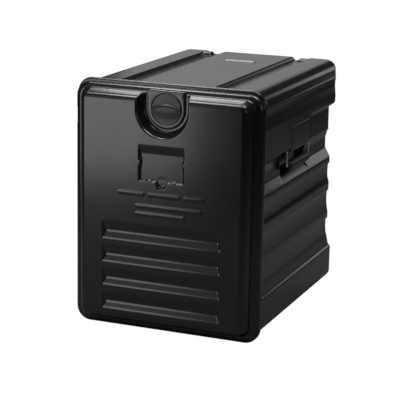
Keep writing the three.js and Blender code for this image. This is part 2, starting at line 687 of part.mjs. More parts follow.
// The handle's bent rod: pin, leg, grip core, leg, pin, in one plane, with rounded bends.
function handleBail() {
  const { y, halfSpan, rod, bend, pivotX, pivotZ, gripZ, pinReach } = HANDLE;
  const inner = halfSpan - pinReach + 3;
  const half = [[halfSpan, gripZ], [halfSpan, pivotZ], [inner, pivotZ]];
  const route = [...half.map(([a, z]) => [-a, z]).reverse(), ...half];
  const stations = [];
  route.forEach(([a, z], i) => {
    const here = new THREE.Vector2(a, z);
    if (i === 0 || i === route.length - 1) {
      const other = new THREE.Vector2(...route[i === 0 ? 1 : i - 1]);
      const along = i === 0 ? other.clone().sub(here) : here.clone().sub(other);
      stations.push([here, along.normalize()]);
      return;
    }
    const before = here.clone().sub(new THREE.Vector2(...route[i - 1])).normalize();
    const after = new THREE.Vector2(...route[i + 1]).sub(here).normalize();
    const centre = here.clone().addScaledVector(before, -bend).addScaledVector(after, bend);
    for (let k = 0; k <= 5; k++) {
      const angle = (Math.PI / 2) * (k / 5);
      const outward = after.clone().multiplyScalar(-Math.cos(angle)).addScaledVector(before, Math.sin(angle));
      const along = before.clone().multiplyScalar(Math.cos(angle)).addScaledVector(after, Math.sin(angle));
      stations.push([centre.clone().addScaledVector(outward, bend), along]);
    }
  });
  const rings = stations.map(([p, along]) =>
    Array.from({ length: 12 }, (_, k) => {
      const angle = (2 * Math.PI * k) / 12;
      const sideways = rod * Math.sin(angle);
      return new THREE.Vector3(
        pivotX + rod * Math.cos(angle),
        y + p.x - along.y * sideways,
        p.y + along.x * sideways,
      );
    }),
  );
  return loft(rings);
}

function handleGrip() {
  const { half, halfX, halfZ, bore } = GRIP;
  const { y, pivotX, gripZ } = HANDLE;
  const ring = (along, scale) =>
    Array.from({ length: 28 }, (_, k) => {
      const angle = (2 * Math.PI * k) / 28;
      return new THREE.Vector3(
        pivotX + scale * halfX * Math.cos(angle),
        y + along,
        gripZ + scale * halfZ * Math.sin(angle),
      );
    });
  const end = [[20, 1], [half - 5, 0.97], [half, 0.72]];
  const stations = [...end.map(([along, scale]) => [-along, scale]).reverse(), ...end];
  const skin = loft(stations.map(([along, scale]) => ring(along, scale)));
  return cut(skin, [bar("y", { x: pivotX, z: gripZ }, bore, y - half - 1, y + half + 1, 20)]);
}

// ---------------------------------------------------------------- assembly
function piece(group, name, made, material) {
  const mesh = new THREE.Mesh(geometryOf(made), material);
  mesh.name = name;
  group.add(mesh);
}

const carrier = new THREE.Group();
const body = new THREE.Group();
const door = new THREE.Group();
const latch = new THREE.Group();
carrier.add(body, door);
door.add(latch);

piece(body, "outer_shell", outerShell(), MATERIAL.shell);
piece(body, "inner_liner", innerLiner(), MATERIAL.liner);
piece(body, "foam_core", bodyFoam(), MATERIAL.foam);
piece(body, "door_gasket", gasket(), MATERIAL.rubber);
piece(body, "skid_left", skid(-1), MATERIAL.trim);
piece(body, "skid_right", skid(1), MATERIAL.trim);
piece(body, "latch_keeper", latchKeeper(), MATERIAL.steel);
KEEPER_SCREW.xs.forEach((x, i) => {
  const { shank, tip, headBack, headRadius, headFront } = KEEPER_SCREW;
  const made = screw("y", { x, z: LATCH.z }, shank, tip, headBack, headRadius, headFront);
  piece(body, `keeper_screw_${["left", "right"][i]}`, made, MATERIAL.steel);
});

for (const [place, z] of Object.entries(HINGE.heights)) {
  piece(body, `hinge_bracket_${place}`, hingeBracket(z), MATERIAL.steel);
  piece(body, `hinge_pin_${place}`, hingePin(z), MATERIAL.steel);
  piece(door, `hinge_lug_${place}`, hingeLug(z), MATERIAL.steel);
  BRACKET_SCREW.rises.forEach((rise, i) => {
    const { y, shank, tip, headRadius, headOut } = BRACKET_SCREW;
    const made = screw("x", { y, z: z + rise }, shank, tip, BRACKET.outside - 0.1, headRadius, headOut);
    piece(body, `bracket_screw_${place}_${i + 1}`, made, MATERIAL.steel);
  });
  LUG_SCREW.rises.forEach((rise, i) => {
    const { y, shank, tip, headIn, headRadius } = LUG_SCREW;
    const made = screw("x", { y, z: z + rise }, shank, tip, headIn, headRadius, LUG.outside);
    piece(door, `lug_screw_${place}_${i + 1}`, made, MATERIAL.steel);
  });
}

piece(door, "door_outer_shell", doorOuterShell(), MATERIAL.shell);
piece(door, "door_inner_shell", doorInnerShell(), MATERIAL.liner);
piece(door, "door_foam", doorFoam(), MATERIAL.foam);
piece(door, "latch_plate", latchPlate(), MATERIAL.shell);
piece(door, "latch_bush", latchBush(), MATERIAL.trim);
piece(latch, "latch_knob", latchKnob(), MATERIAL.shell);
piece(latch, "latch_shaft", latchShaft(), MATERIAL.steel);
piece(latch, "latch_tbar", latchTbar(), MATERIAL.steel);
piece(latch, "shaft_nut", shaftNut(), MATERIAL.steel);

for (const [place, mirror] of [["left", -1], ["right", 1]]) {
  const side = new THREE.Group();
  side.scale.x = mirror;
  carrier.add(side);
  piece(side, `handle_mount_${place}`, handleCarrier(), MATERIAL.shell);
  piece(side, `handle_bail_${place}`, handleBail(), MATERIAL.steel);
  piece(side, `handle_grip_${place}`, handleGrip(), MATERIAL.trim);
  carrierScrewY.forEach((y, i) => {
    const { z, shank, tip, head, headRadius } = CARRIER_SCREW;
    const made = screw("x", { y, z }, shank, tip, head - 2.6, headRadius, head);
    piece(side, `mount_screw_${place}_${i + 1}`, made, MATERIAL.steel);
  });
}

// The frame's origin is the centre of the footprint, on the floor.
const FRONT_MOST = -PANEL.proud - RELIEF.proud;
carrier.position.y = -(FRONT_MOST + BODY.back) / 2;

export default carrier;
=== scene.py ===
import math

import bpy
import bmesh
import numpy as np
from mathutils import Matrix, Vector

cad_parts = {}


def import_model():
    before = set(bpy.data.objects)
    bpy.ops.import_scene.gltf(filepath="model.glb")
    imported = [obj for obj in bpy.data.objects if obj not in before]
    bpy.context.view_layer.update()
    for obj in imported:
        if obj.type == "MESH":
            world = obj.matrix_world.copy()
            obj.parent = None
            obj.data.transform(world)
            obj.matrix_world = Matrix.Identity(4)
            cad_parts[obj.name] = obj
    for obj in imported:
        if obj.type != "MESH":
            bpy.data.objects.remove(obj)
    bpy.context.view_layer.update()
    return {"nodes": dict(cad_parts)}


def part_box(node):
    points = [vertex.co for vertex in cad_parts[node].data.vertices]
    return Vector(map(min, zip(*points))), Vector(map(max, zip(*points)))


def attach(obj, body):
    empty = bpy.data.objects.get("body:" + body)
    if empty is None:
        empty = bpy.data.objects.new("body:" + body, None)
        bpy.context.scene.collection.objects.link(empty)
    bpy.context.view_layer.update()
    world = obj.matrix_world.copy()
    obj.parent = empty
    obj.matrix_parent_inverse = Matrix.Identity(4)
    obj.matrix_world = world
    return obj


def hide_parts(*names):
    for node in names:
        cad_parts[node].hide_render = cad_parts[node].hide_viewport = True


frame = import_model()

# Sizes are in millimetres, with X to the right, Y to the back from the door rim's front face and
# Z up from the floor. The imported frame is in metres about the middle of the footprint.
MM = 0.001
RELIEF = 1.5  # the raised bars on the panel, the CAD's frontmost faces
PANEL_FACE = -30.0
BACK_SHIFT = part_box("door_outer_shell")[0][1] / MM - (PANEL_FACE - RELIEF)


# ------------------------------------------------------------------ mesh helpers
def build(name, points, faces, body, material, replaces=()):
    """A smooth-shaded object from points in millimetres, riding on a body."""
    mesh = bpy.data.meshes.new(name)
    placed = (np.asarray(points, dtype=float) + (0.0, BACK_SHIFT, 0.0)) * MM
    mesh.from_pydata(placed.tolist(), [], faces)
    obj = bpy.data.objects.new(name, mesh)
    bpy.context.scene.collection.objects.link(obj)
    tidy_mesh(mesh)
    mesh.materials.append(material)
    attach(obj, body)
    if replaces:
        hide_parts(*replaces)
    return obj


def tidy_mesh(mesh, merge=0.00002):
    """Merges coinciding points, turns the faces outwards and shades them smooth."""
    work = bmesh.new()
    work.from_mesh(mesh)
    bmesh.ops.remove_doubles(work, verts=work.verts, dist=merge)
    bmesh.ops.dissolve_degenerate(work, edges=work.edges, dist=merge / 4)
    bmesh.ops.recalc_face_normals(work, faces=work.faces)
    for face in work.faces:
        face.smooth = True
    work.to_mesh(mesh)
    work.free()


def strip(rows, columns, start=0, closed=False):
    """Quads over a sheet of rows by columns points, numbered row by row."""
    faces = []
    last = columns if closed else columns - 1
    for r in range(rows - 1):
        for c in range(last):
            a = start + r * columns + c
            b = start + r * columns + (c + 1) % columns
            faces.append((a, b, b + columns, a + columns))
    return faces


def spaced(stops):
    """Ordered values that pass through each stop; a stop is (value, spacing up to the next one)."""
    values = []
    for (a, step), (b, _) in zip(stops, stops[1:]):
        count = max(1, round((b - a) / step))
        values.extend(a + (b - a) * i / count for i in range(count))
    values.append(stops[-1][0])
    return np.array(values)


def outside(value, low, high):
    """Distance outside a range, negative within it."""
    return np.maximum(low - value, value - high)


def smax(a, b, k):
    """The larger of two, with the corner between them rounded over about k."""
    h = np.clip(0.5 + 0.5 * (a - b) / k, 0, 1)
    return b * (1 - h) + a * h + k * h * (1 - h)


def smin(a, b, k):
    return -smax(-a, -b, k)


def arc_points(centre, radius, start, stop, count):
    angles = np.radians(np.linspace(start, stop, count))
    return np.column_stack([centre[0] + radius * np.cos(angles), centre[1] + radius * np.sin(angles)])


def rounded_ring(x0, x1, z0, z1, radius, u, v, arc=9):
    """Closed rounded rectangle. u and v place the points along its straight sides, from 0 to 1."""
    xs = x0 + radius + (x1 - x0 - 2 * radius) * u
    zs = z0 + radius + (z1 - z0 - 2 * radius) * v
    corners = [
        ((x1 - radius, z0 + radius), -90),
        ((x1 - radius, z1 - radius), 0),
        ((x0 + radius, z1 - radius), 90),
        ((x0 + radius, z0 + radius), 180),
    ]
    sides = [
        np.column_stack([xs, np.full_like(xs, z0)]),
        np.column_stack([np.full_like(zs, x1), zs]),
        np.column_stack([xs[::-1], np.full_like(xs, z1)]),
        np.column_stack([np.full_like(zs, x0), zs[::-1]]),
    ]
    parts = []
    for side, (centre, start) in zip(sides, corners):
        parts.append(side)
        parts.append(arc_points(centre, radius, start, start + 90, arc)[1:-1])
    return np.vstack(parts)


def shape_ring(shape, inset, u, v, arc=9):
    """Rounded rectangle from a shape's half width, bottom, top and radius, moved in by the inset."""
    half = shape["half"] - inset
    radius = max(shape["radius"] - inset, 0.5)
    return rounded_ring(-half, half, shape["bottom"] + inset, shape["top"] - inset, radius, u, v, arc)


def ring_loft(profile, outline):
    """Points of one ring after another. profile holds (inset, y); outline(inset) gives X and Z."""
    rows = []
    for inset, y in profile:
        flat = outline(inset)
        rows.append(np.column_stack([flat[:, 0], np.full(len(flat), y), flat[:, 1]]))
    return rows


def fillet(centre, radius, start, stop, count):
    """Arc in a profile as (inset, y) pairs."""
    return [tuple(p) for p in arc_points(centre, radius, start, stop, count)]


def capped_tube(rows):
    """Points and faces of closed rings one after another, with a cap on the first and the last."""
    points = np.vstack(rows)
    count = len(rows[0])
    faces = strip(len(rows), count, closed=True)
    faces += [tuple(range(count)), tuple(len(points) - 1 - i for i in range(count))]
    return points, faces


# ------------------------------------------------------------------ materials
def material(name, colour, roughness, metallic=0.0, grain=0.0, grain_scale=900.0, patches=0.05, wear=0.0,
             brushed=None):
    """Moulded plastic, rubber or brushed metal: fine grain, uneven gloss and lighter worn edges."""
    made = bpy.data.materials.new(name)
    made.use_nodes = True
    nodes, links = made.node_tree.nodes, made.node_tree.links
    shader = nodes["Principled BSDF"]
    shader.inputs["Metallic"].default_value = metallic
    place = nodes.new("ShaderNodeTexCoord").outputs["Object"]
    if brushed:
        stretch = nodes.new("ShaderNodeMapping")
        stretch.inputs["Scale"].default_value = brushed
        links.new(place, stretch.inputs["Vector"])
        place = stretch.outputs["Vector"]

    def noise(scale, detail=3.0):
        node = nodes.new("ShaderNodeTexNoise")
        node.inputs["Scale"].default_value = scale
        node.inputs["Detail"].default_value = detail
        links.new(place, node.inputs["Vector"])
        return node.outputs["Fac"]

    def spread(source, low, high, out_low, out_high):
        node = nodes.new("ShaderNodeMapRange")
        for socket, value in zip(node.inputs[1:5], (low, high, out_low, out_high)):
            socket.default_value = value
        links.new(source, node.inputs[0])
        return node.outputs[0]

    edge = spread(nodes.new("ShaderNodeNewGeometry").outputs["Pointiness"], 0.51, 0.56, 0.0, wear)
    cloud = spread(noise(7.0), 0.35, 0.65, 0.82, 1.18)
    tint = nodes.new("ShaderNodeMix")
    tint.data_type = "RGBA"
    tint.inputs["A"].default_value = (*colour, 1)
    tint.inputs["B"].default_value = (*(min(1, c * 3 + 0.02) for c in colour), 1)
    links.new(edge, tint.inputs["Factor"])
    shade = nodes.new("ShaderNodeMix")
    shade.data_type = "RGBA"
    shade.blend_type = "MULTIPLY"
    shade.inputs["Factor"].default_value = 1
    links.new(tint.outputs["Result"], shade.inputs["A"])
    links.new(cloud, shade.inputs["B"])
    links.new(shade.outputs["Result"], shader.inputs["Base Color"])

    broad = spread(noise(16.0, 4.0), 0.3, 0.7, roughness - patches, roughness + patches)
    fine = spread(noise(240.0, 2.0), 0.3, 0.7, -0.02, 0.02)
    total = nodes.new("ShaderNodeMath")
    links.new(broad, total.inputs[0])
    links.new(fine, total.inputs[1])
    links.new(total.outputs[0], shader.inputs["Roughness"])
    if grain:
        bump = nodes.new("ShaderNodeBump")
        bump.inputs["Strength"].default_value = grain
        bump.inputs["Distance"].default_value = 0.0002
        links.new(noise(grain_scale, 2.0), bump.inputs["Height"])
        links.new(bump.outputs["Normal"], shader.inputs["Normal"])
    return made


SHELL = material("moulded_black_shell", (0.0052, 0.0052, 0.0056), 0.22, grain=0.03, patches=0.02, wear=0.2)
LINER = material("moulded_black_liner", (0.009, 0.009, 0.0095), 0.42, grain=0.25, wear=0.25)
TRIM = material("black_trim", (0.006, 0.006, 0.0064), 0.36, grain=0.03, patches=0.02, wear=0.2)
GRIP = material("black_grip", (0.006, 0.006, 0.006), 0.45, grain=0.35, grain_scale=600.0)
RUBBER = material("gasket_rubber", (0.01, 0.01, 0.01), 0.7, grain=0.3, grain_scale=500.0)
FOAM = material("insulation_foam", (0.7, 0.62, 0.38), 0.9, grain=0.8, grain_scale=350.0)
STEEL = material("brushed_steel", (0.75, 0.76, 0.78), 0.3, metallic=1.0, grain=0.12, brushed=(1.0, 8.0, 1.0))


# ------------------------------------------------------------------ door skin
RIM = dict(half=228.0, bottom=9.0, top=579.0, radius=34.0, back=12.0)
CORE = dict(half=186.0, bottom=51.0, top=544.0)  # the panel's flat face; its rings are offsets of it
RIM_ROUND = dict(inset=14, depth=11)
LATCH_Z = 532.7
WELL_RADIUS = 34.6
GROOVES = (59, 115.5, 171.5, 227)  # where each groove's lower slope starts
LABEL = dict(half=55.6, bottom=369, top=450, depth=6.0, notch=13.5)
# Small nibs that hold the card: middle in X and Z, half width and half height.
LABEL_NIBS = ((-54.5, 412, 3, 6), (54.5, 412, 3, 6), (-30, 369.5, 5, 2.2), (30, 369.5, 5, 2.2))
# The latch recess's wall: distance from the latch's axis, and Y.
LATCH_WALL = ((-60, -2.2), (49.5, -2.2), (52.5, -2.8), (55, -5.5), (57, -10), (61.5, -26), (64.5, -32),
              (90, -95))
# Plain bars where the photo has lettering: left end, right end and bottom.
RELIEF_ROWS = ((-104, -40, 334), (-32, 48, 334), (56, 104, 334), (-64, 100, 306), (-64, 60, 288))
RELIEF_ROUND = 4.5


def groove_depth(x, z, bottom):
    """Depth of a wide groove with sloping sides and ends, negative outside it."""
    upper = (bottom + 38.5 - z) * 8 / 16.5
    lower = (z - bottom) * 8 / 15
    ends = (145 - np.abs(x)) * 8 / 6
    return smin(smin(smin(upper, lower, 3.0), ends, 2.5), 8.0, 2.0)


def label_depth(x, z):
    """Depth of the card's recess, with a round thumb notch below and four nibs over its edge."""
    walls = smin((LABEL["top"] - z) * 6 / 16, (z - LABEL["bottom"]) * 6 / 2, 1.0)
    walls = smin(walls, (LABEL["half"] - np.abs(x)) * 6 / 4, 1.2)
    notch = smin((LABEL["notch"] - np.hypot(x, z - LABEL["bottom"])) * 3, LABEL["depth"], 1.0)
    deep = smax(smin(walls, LABEL["depth"], 1.0), notch, 0.6)
    for cx, cz, half_x, half_z in LABEL_NIBS:
        nib = 0.8 + 2.5 * np.maximum(np.abs(x - cx) - half_x, np.abs(z - cz) - half_z)
        deep = smin(deep, nib, 0.5)
    return deep


def latch_distance(x, z):
    """Distance from the latch's axis, round it below and straight to the sides above."""
    return np.where(z < LATCH_Z, np.hypot(x, z - LATCH_Z), np.abs(x))


def latch_surface(x, z):
    """A gutter round the floor plate, a steep wall up to the face, and the well for the knob's hub."""
    away = latch_distance(x, z)
    wall = np.interp(away, *zip(*LATCH_WALL))
    well = smin(1.0 + 0 * wall, 1.0 - (np.hypot(x, z - LATCH_Z) - WELL_RADIUS) * 6, 0.3)
    return smax(wall, well, 0.3)


def relief_height(x, z):
    """Height of the round-ended bars."""
    height = np.zeros_like(x)
    for x0, x1, z0 in RELIEF_ROWS:
        across = np.maximum(np.abs(x - (x0 + x1) / 2) - (x1 - x0) / 2 + RELIEF_ROUND, 0)
        up = z - z0 - RELIEF_ROUND
        height = np.maximum(height, np.clip((RELIEF_ROUND - np.hypot(across, up)) / 1.6, 0, 1))
    return 1.1 * height


def door_surface(x, y, z):
    """Moves points of the plain door front into its grooves and recesses and out to the bars."""
    on_face = np.clip((-y - 20) / 8, 0, 1)
    cut = np.full_like(x, PANEL_FACE - 50.0)
    for bottom in GROOVES:
        cut = np.maximum(cut, PANEL_FACE + np.maximum(groove_depth(x, z, bottom), -4))
    cut = np.maximum(cut, PANEL_FACE + np.maximum(label_depth(x, z), -4))
    y = smax(y, cut, 1.6) - relief_height(x, z) * on_face
    return smax(y, latch_surface(x, z), 5.0)


def door_skin():
    """The door's outside: a fine grid for the panel's face, and rings from there round to the back."""
    xs = spaced([(-186, 3.0), (-150, 1.5), (-136, 4.0), (-108, 2.5), (-72, 1.1), (72, 2.5), (108, 4.0),
                 (136, 1.5), (150, 3.0), (186, 1)])
    zs = spaced([(51, 1.9), (270, 2.6), (286, 1.5), (299, 2.0), (304, 1.5), (317, 3.0), (332, 1.5),
                 (346, 3.0), (364, 1.3), (378, 2.6), (430, 1.6), (454, 1.2), (544, 1)])
    grid_x, grid_z = np.meshgrid(xs, zs)
    points = np.column_stack([grid_x.ravel(), np.full(grid_x.size, PANEL_FACE), grid_z.ravel()])
    faces = strip(len(zs), len(xs))
    u = (xs - xs[0]) / (xs[-1] - xs[0])
    v = (zs - zs[0]) / (zs[-1] - zs[0])

    def panel_outline(offset):
        half = CORE["half"] + offset
        return rounded_ring(-half, half, CORE["bottom"] - offset, CORE["top"] + offset, max(offset, 0), u, v)

    def rim_outline(inset):
        return shape_ring(RIM, inset, u, v)

    rows = ring_loft([(0, PANEL_FACE), (1.5, PANEL_FACE)] + fillet((3, -15), 15, -90, -20, 14), panel_outline)
    rows += ring_loft([(19.8, -12.5), (22.5, -5), (23.1, -2.8), (24.2, -0.9), (25.6, 0.0)], panel_outline)
    inset, depth, back = RIM_ROUND["inset"], RIM_ROUND["depth"], RIM["back"]
    turns = [math.radians(degrees) for degrees in range(0, 91, 10)]
    edge = [(inset - inset * math.sin(a), depth - depth * math.cos(a)) for a in turns]
    rows += ring_loft(edge + [(0.6, back), (3, back), (31.5, back), (31.5, back - 3)], rim_outline)
    rings = np.vstack(rows)
    start = len(points)
    points = np.vstack([points, rings])
    faces += strip(len(rows), len(rows[0]), start, closed=True)
    front = points[:, 1] < depth
    points[front, 1] = door_surface(points[front, 0], points[front, 1], points[front, 2])
    return build("door_skin", points, faces, "door", SHELL, replaces=("door_outer_shell",))


door_skin()


# ------------------------------------------------------------------ body skin
# Height and half width of the body, from the floor up.
BODY_PROFILE = [
    (16.5, 214), (94, 214), (97, 212.5), (101, 208.6), (110, 206.6), (120, 204.6), (133, 201.2), (147, 200),
    (164, 200), (170, 200.6), (172.5, 204.3), (187, 204.3), (200, 201.9), (213, 200.3), (228, 199.7),
    (240, 200.6), (244.5, 201.6), (246.5, 204.3), (266, 204.3), (279, 200.7), (292, 199.8), (306, 200.4),
    (314.5, 201.2), (317, 204.2), (331, 204.2), (338, 201.5), (346, 197), (356, 191.6), (384, 191.3),
    (396, 194.5), (402, 195.8), (404, 199.0), (407, 197.8), (462, 197.6), (465, 200), (472, 210.8),
    (476, 212.6), (489, 213.2), (502, 212.2), (518, 210.8), (530, 211.4), (536, 212.4), (541, 211.7),
    (553, 211), (581, 210.5),
]
INNER = dict(half=178.0, back=574.0)  # the top's flat part; the walls' rings are offsets of it
DECK = 580.4
BODY_FLOOR = 16.5
TOP_ROUND, LOW_ROUND = 24.0, 17.0
HINGE_HEIGHTS = (66, 500)
SHOULDER = dict(out=213.0, bottom=418.5, top=486, back=388, end=480)
BED = dict(out=197.4, front=240.6, back=383.4, bottom=407.4, top=468.6)  # behind the mount plate
POCKET = dict(out=178, front=238, back=396, bottom=366, top=412)  # its inner face, inside sloping walls
HINGE_PAD = dict(out=214, back=73, half=26)
CHANNEL = dict(floor=570.4, inner=95, outer=137)
STOP = dict(inner=120, front=555, back=575)
EMBLEM = dict(half=34, y=452, outer=9, inner=6, height=1.3)

# The profile is blurred along Z, which rounds all its corners alike.
PROFILE_STEP, PROFILE_BLUR, BLUR_REACH = 0.5, 0.9, 8
fine_z = np.arange(10, 600, PROFILE_STEP)
raw_half = np.interp(fine_z, *zip(*BODY_PROFILE))
kernel = np.exp(-0.5 * (np.arange(-BLUR_REACH, BLUR_REACH + 1) * PROFILE_STEP / PROFILE_BLUR) ** 2)
soft_half = np.convolve(np.pad(raw_half, BLUR_REACH, mode="edge"), kernel / kernel.sum(), mode="valid")


def body_offset(z):
    """How far the wall stands outside the top's flat part at a height."""
    return np.interp(z, fine_z, soft_half) - INNER["half"]


def side_surface(x, y, z):
    """Moves points of the plain side walls to the shoulder, mount bed, pocket and hinge pads."""
    side = np.sign(x)
    out = np.abs(x)
    below = np.maximum(SHOULDER["bottom"] - z, 0)
    behind = np.maximum(y - SHOULDER["back"], 0)
    above = np.maximum(z - SHOULDER["top"], 0)
    shoulder = SHOULDER["out"] - 5 * below - 1.6 * behind - 2 * above
    out = np.where(y < SHOULDER["end"], smax(out, shoulder, 0.4), out)
    from_bed = np.maximum(outside(y, BED["front"], BED["back"]), outside(z, BED["bottom"], BED["top"]))
    out = smin(out, BED["out"] + 16 * np.maximum(from_bed, 0), 0.3)
    walls = [0 * z, 1.2 * (POCKET["front"] - y), 3 * (y - POCKET["back"]),
             0.9 * (POCKET["bottom"] - z), 6 * (z - POCKET["top"])]
    hollow = POCKET["out"] + np.maximum.reduce(walls)
    out = smin(out, hollow, 3.0)
    for height in HINGE_HEIGHTS:
        from_pad = np.maximum(y - HINGE_PAD["back"], np.abs(z - height) - HINGE_PAD["half"])
        pad = HINGE_PAD["out"] - 4 * np.maximum(from_pad, 0)
        out = np.where((side < 0) & (y < 90), np.maximum(out, pad), out)
    return side * out


def deck_surface(x, y, z):
    """Moves points of the plain top into the stacking channels, to their stops and to the emblem."""
    out = np.abs(x)
    channel = CHANNEL["floor"] + 2.5 * np.maximum(0, outside(out, CHANNEL["inner"], CHANNEL["outer"]))
    from_stop = np.maximum(outside(y, STOP["front"], STOP["back"]), STOP["inner"] - out)
    stop = DECK - 2.5 * np.maximum(from_stop, 0)
    channel = smax(channel, stop, 1.0)
    z = smin(z, channel, 1.6)
    from_middle = np.hypot(np.maximum(out - EMBLEM["half"], 0), y - EMBLEM["y"])
    pill = np.clip((EMBLEM["outer"] - from_middle) / 2.5, 0, 1)
    pill = pill - np.clip((EMBLEM["inner"] - from_middle) / 2, 0, 1)
    return z + EMBLEM["height"] * pill * (z > DECK - 1)


def body_skin():
    """The body's outside behind the flange: a grid for the top, and rows of walls below it."""
    ys = spaced([(24, 12), (216, 1.6), (244, 9), (378, 1.5), (404, 8), (440, 1.4), (464, 8), (548, 1.3),
                 (574, 1)])
    xs = spaced([(-178, 9), (-145, 1.0), (-135, 4), (-122, 1.0), (-118, 4), (-97, 1.0), (-89, 4), (-46, 1.5),
                 (46, 4), (89, 1.0), (97, 4), (118, 1.0), (122, 4), (135, 1.0), (145, 9), (178, 1)])
    deck_x, deck_y = np.meshgrid(xs, ys)
    points = np.column_stack([deck_x.ravel(), deck_y.ravel(), np.full(deck_x.size, DECK)])
    faces = strip(len(ys), len(xs))

    def wall_row(offset, z):
        half, back = INNER["half"] + offset, INNER["back"] + offset
        right = np.column_stack([np.full_like(ys, half), ys])
        corner_right = arc_points((INNER["half"], INNER["back"]), offset, 0, 90, 9)[1:-1]
        rear = np.column_stack([xs[::-1], np.full_like(xs, back)])
        corner_left = corner_right[::-1] * (-1, 1)
        left = right[::-1] * (-1, 1)
        flat = np.vstack([right, corner_right, rear, corner_left, left])
        return np.column_stack([flat, np.full(len(flat), z)])

    eaves = DECK - TOP_ROUND
    levels = spaced([(BODY_FLOOR + LOW_ROUND, 6), (92, 1.5), (106, 3), (166, 1.0), (176, 3.5), (238, 1.0),
                     (250, 3.5), (310, 1.0), (320, 3.5), (332, 2.2), (400, 1.0), (423, 4.5), (458, 1.4),
                     (480, 2.2), (530, 1.2), (542, 2.4), (eaves, 1)])
    rows = [wall_row(0.0, BODY_FLOOR)]
    base = float(body_offset(40)) - LOW_ROUND
    for a in np.radians(np.linspace(90, 0, 9)):
        rows.append(wall_row(base + LOW_ROUND * math.cos(a), BODY_FLOOR + LOW_ROUND * (1 - math.sin(a))))
    rows += [wall_row(float(body_offset(z)), z) for z in levels[1:]]
    head = float(body_offset(levels[-1])) - TOP_ROUND
    for a in np.radians(np.linspace(7, 90, 13)):
        rows.append(wall_row(head + TOP_ROUND * math.cos(a), eaves + TOP_ROUND * math.sin(a)))
    rows.append(wall_row(0.0, DECK))
    start = len(points)
    wall = np.vstack(rows)
    # The handles' side features and the hinge pads; the rest of the wall stays as lofted.
    middle = (wall[:, 1] < INNER["back"]) & (wall[:, 2] > 300) & (wall[:, 2] < 540)
    pads = (wall[:, 1] < 90) & (wall[:, 0] < 0)
    moved = (middle | pads) & (wall[:, 2] > 30) & (wall[:, 2] < 545)
    wall[moved, 0] = side_surface(wall[moved, 0], wall[moved, 1], wall[moved, 2])
    points = np.vstack([points, wall])
    faces += strip(len(rows), len(rows[0]), start)
    high = points[:, 2] > 560
    points[high, 2] = deck_surface(points[high, 0], points[high, 1], points[high, 2])
    # One face closes the underside.
    low_ring = [start + i for i in range(len(rows[0]))]
    faces.append(tuple(reversed(low_ring)))
    return build("body_skin", points, faces, "body", SHELL)


def cutter_object(work):
    """An object to cut with, from a bmesh that is freed."""
    mesh = bpy.data.meshes.new("cutter")
    work.to_mesh(mesh)
    work.free()
    obj = bpy.data.objects.new("cutter", mesh)
    bpy.context.scene.collection.objects.link(obj)
    return obj


def cutter_box(low, high):
    work = bmesh.new()
    bmesh.ops.create_cube(work, size=1)
    for vert in work.verts:
        for axis in range(3):
            vert.co[axis] = (low[axis] if vert.co[axis] < 0 else high[axis])
        vert.co = Vector((vert.co.x, vert.co.y + BACK_SHIFT, vert.co.z)) * MM
    return cutter_object(work)


def cutter_bar(x, z, radius, y0, y1):
    """A round bar along Y."""
    work = bmesh.new()
    turned = Matrix.Rotation(math.pi / 2, 4, "X")
    bmesh.ops.create_cone(work, cap_ends=True, segments=64, radius1=radius * MM, radius2=radius * MM,
                          depth=(y1 - y0) * MM, matrix=turned)
    bmesh.ops.translate(work, verts=work.verts, vec=Vector((x, (y0 + y1) / 2 + BACK_SHIFT, z)) * MM)
    return cutter_object(work)


def cut_with(obj, cutters):
    """Cuts the object by each cutter and keeps the result as its mesh."""
    for cutter in cutters:
        step = obj.modifiers.new("cut", "BOOLEAN")
        step.operation = "DIFFERENCE"
        step.solver = "EXACT"
        step.object = cutter
    graph = bpy.context.evaluated_depsgraph_get()
    result = bpy.data.meshes.new_from_object(obj.evaluated_get(graph))
    obj.modifiers.clear()
    obj.data = result
    for cutter in cutters:
        bpy.data.objects.remove(cutter)


FLANGE = dict(half=228.0, bottom=9.0, top=586.4, radius=34.0, front=13.0, back=25.0)
MOUTH = dict(half=185.0, bottom=24.0, top=508.0, radius=14.0)
KEEPER = dict(half_width=40.3, half_height=15.3, cup=22.3)  # room for the keeper plate and its cup
BRACKET = dict(inner=-216.9, half=25.5, back=25.2)  # room for each hinge bracket


def front_flange():
    """The rounded frame round the mouth, cut for the keeper and the hinge brackets."""
    u = np.linspace(0, 1, 40)
    v = np.linspace(0, 1, 50)

    def outer(inset):
        return shape_ring(FLANGE, inset, u, v, arc=13)

    def mouth(outset):
        return shape_ring(MOUTH, -outset, u, v, arc=13)

    front, back = FLANGE["front"], FLANGE["back"]
    rows = ring_loft([(1, back), (0, back - 1), (0, front + 2.5), (0.7, front + 0.7), (2.5, front)], mouth)
    edge = fillet((4, front + 4), 4, 270, 180, 6) + fillet((4, back - 4), 4, 180, 90, 6)
    rows += ring_loft(edge, outer)
    rows += ring_loft([(1, back)], mouth)
    points = np.vstack(rows)
    faces = strip(len(rows), len(rows[0]), 0, closed=True)
    obj = build("front_flange", points, faces, "body", SHELL)
    wide, high = KEEPER["half_width"], KEEPER["half_height"]
    cutters = [cutter_box((-wide, 10, LATCH_Z - high), (wide, 16, LATCH_Z + high)),
               cutter_bar(0, LATCH_Z, KEEPER["cup"], 9, 40)]
    for z in HINGE_HEIGHTS:
        low = (-240, 8, z - BRACKET["half"])
        cutters.append(cutter_box(low, (BRACKET["inner"], BRACKET["back"], z + BRACKET["half"])))
    cut_with(obj, cutters)
    return obj


skin = body_skin()
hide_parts("outer_shell")
front_flange()


# ------------------------------------------------------------------ latch
PLATE = dict(half=47.2, top=574.0)
KNOB = dict(radius=37.0, face=-8.9, scoop=2.4)
RIDGE = dict(half=34, above=9.5, below=6.0)


